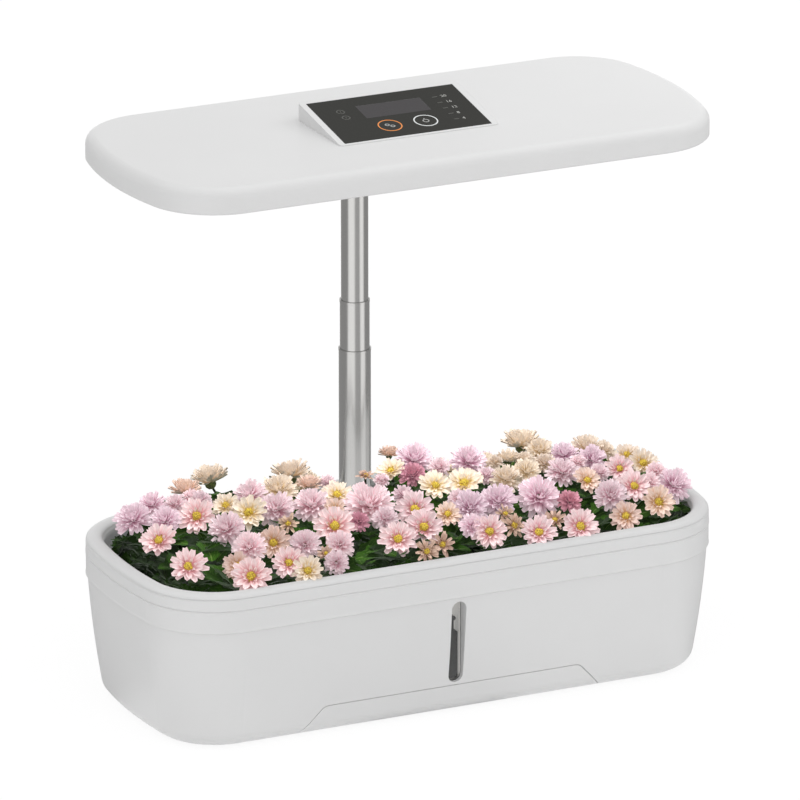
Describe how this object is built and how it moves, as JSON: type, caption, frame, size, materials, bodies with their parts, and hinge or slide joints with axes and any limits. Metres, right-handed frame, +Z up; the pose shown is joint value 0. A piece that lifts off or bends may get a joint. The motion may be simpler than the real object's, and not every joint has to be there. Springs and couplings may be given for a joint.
{
  "type": "countertop hydroponic garden",
  "caption": "Tabletop hydroponic garden: rounded water tank with a level window, planted grow deck, telescopic steel mast and a swivelling grow lamp with a touch panel.",
  "frame": {"origin": "centre of the footprint on the surface that the feet stand on", "axes": "+X to the right as seen from the level window, +Y to the back where the mast stands, +Z up"},
  "size_m": [0.42, 0.186, 0.4037],
  "materials": {
    "white_shell": "satin moulded ABS",
    "grey_deck": "fine matt moulding",
    "mast_steel": "polished stainless tube",
    "screw_steel": "plain stainless",
    "foot_rubber": "soft matt",
    "clear_window": "clear",
    "seal_rubber": "matt",
    "guide_plastic": "matt",
    "float_plastic": "foamed, matt",
    "pump_plastic": "matt",
    "filter_foam": "open-cell foam",
    "rotor_plastic": "smooth",
    "silicone_tube": "translucent silicone",
    "glide_plastic": "matt acetal",
    "bush_plastic": "matt acetal",
    "diffuser": "opal acrylic",
    "board_white": "white solder mask",
    "led_phosphor": "phosphor",
    "inlet_black": "matt",
    "panel_black": "gloss acrylic, printed from behind",
    "display_grey": "smoked window",
    "board_green": "solder mask",
    "spring_gold": "gold plated",
    "basket_white": "fine matt",
    "sponge_peat": "pressed peat sponge",
    "flowering_plants": "petals and leaves"
  },
  "bodies": {
    "base": {"tank": "white_shell", "base_cover": "white_shell", "cover_screws": "screw_steel", "feet": "foot_rubber", "window_lens": "clear_window", "window_gasket": "seal_rubber", "float_guide": "guide_plastic", "pump_body": "pump_plastic", "pump_cover": "pump_plastic", "pump_filter": "filter_foam", "pump_shaft": "screw_steel", "pump_feet": "foot_rubber", "outlet_tube": "silicone_tube"},
    "level_float": {"level_float": "float_plastic"},
    "impeller": {"pump_impeller": "rotor_plastic"},
    "deck": {"deck_frame": "white_shell", "rim_trim": "white_shell", "grow_deck": "grey_deck", "deck_screws": "screw_steel", "outlet_nozzle": "grey_deck", "mast_socket": "grey_deck", "socket_screws": "screw_steel", "mast_lower": "mast_steel", "basket_1": "basket_white", "basket_2": "basket_white", "basket_3": "basket_white", "basket_4": "basket_white", "basket_5": "basket_white", "basket_6": "basket_white", "basket_7": "basket_white", "basket_8": "basket_white", "basket_9": "basket_white", "basket_10": "basket_white", "sponges": "sponge_peat", "plants_front": "flowering_plants", "plants_back": "flowering_plants"},
    "mast_middle": {"mast_middle": "mast_steel", "middle_glide": "glide_plastic"},
    "mast_upper": {"mast_upper": "mast_steel", "upper_glide": "glide_plastic", "swivel_retainer": "glide_plastic"},
    "lamp": {"lamp_housing": "white_shell", "lamp_diffuser": "diffuser", "led_board": "board_white", "leds": "led_phosphor", "lamp_screws": "screw_steel", "swivel_bush": "bush_plastic", "dc_inlet": "inlet_black", "control_pod": "white_shell", "control_glass": "panel_black", "display_lens": "display_grey", "control_board": "board_green", "touch_springs": "spring_gold"}
  },
  "joints": [
    {"name": "deck_lift", "type": "slide", "parent": "base", "child": "deck", "axis": [0, 0, 1], "range_m": [0, 0.12]},
    {"name": "middle_slide", "type": "slide", "parent": "deck", "child": "mast_middle", "axis": [0, 0, 1], "range_m": [-0.0328, 0.08]},
    {"name": "upper_slide", "type": "slide", "parent": "mast_middle", "child": "mast_upper", "axis": [0, 0, 1], "range_m": [-0.104, 0]},
    {"name": "lamp_swivel", "type": "hinge", "parent": "mast_upper", "child": "lamp", "pos_m": [0, 0.069, 0.38], "axis": [0, 0, 1], "range_deg": [-90, 90]},
    {"name": "impeller_spin", "type": "hinge", "parent": "base", "child": "impeller", "pos_m": [-0.114, -0.006, 0.0294], "axis": [1, 0, 0], "continuous": true},
    {"name": "float_slide", "type": "slide", "parent": "base", "child": "level_float", "axis": [0, 0, 1], "range_m": [0, 0.0125]}
  ]
}
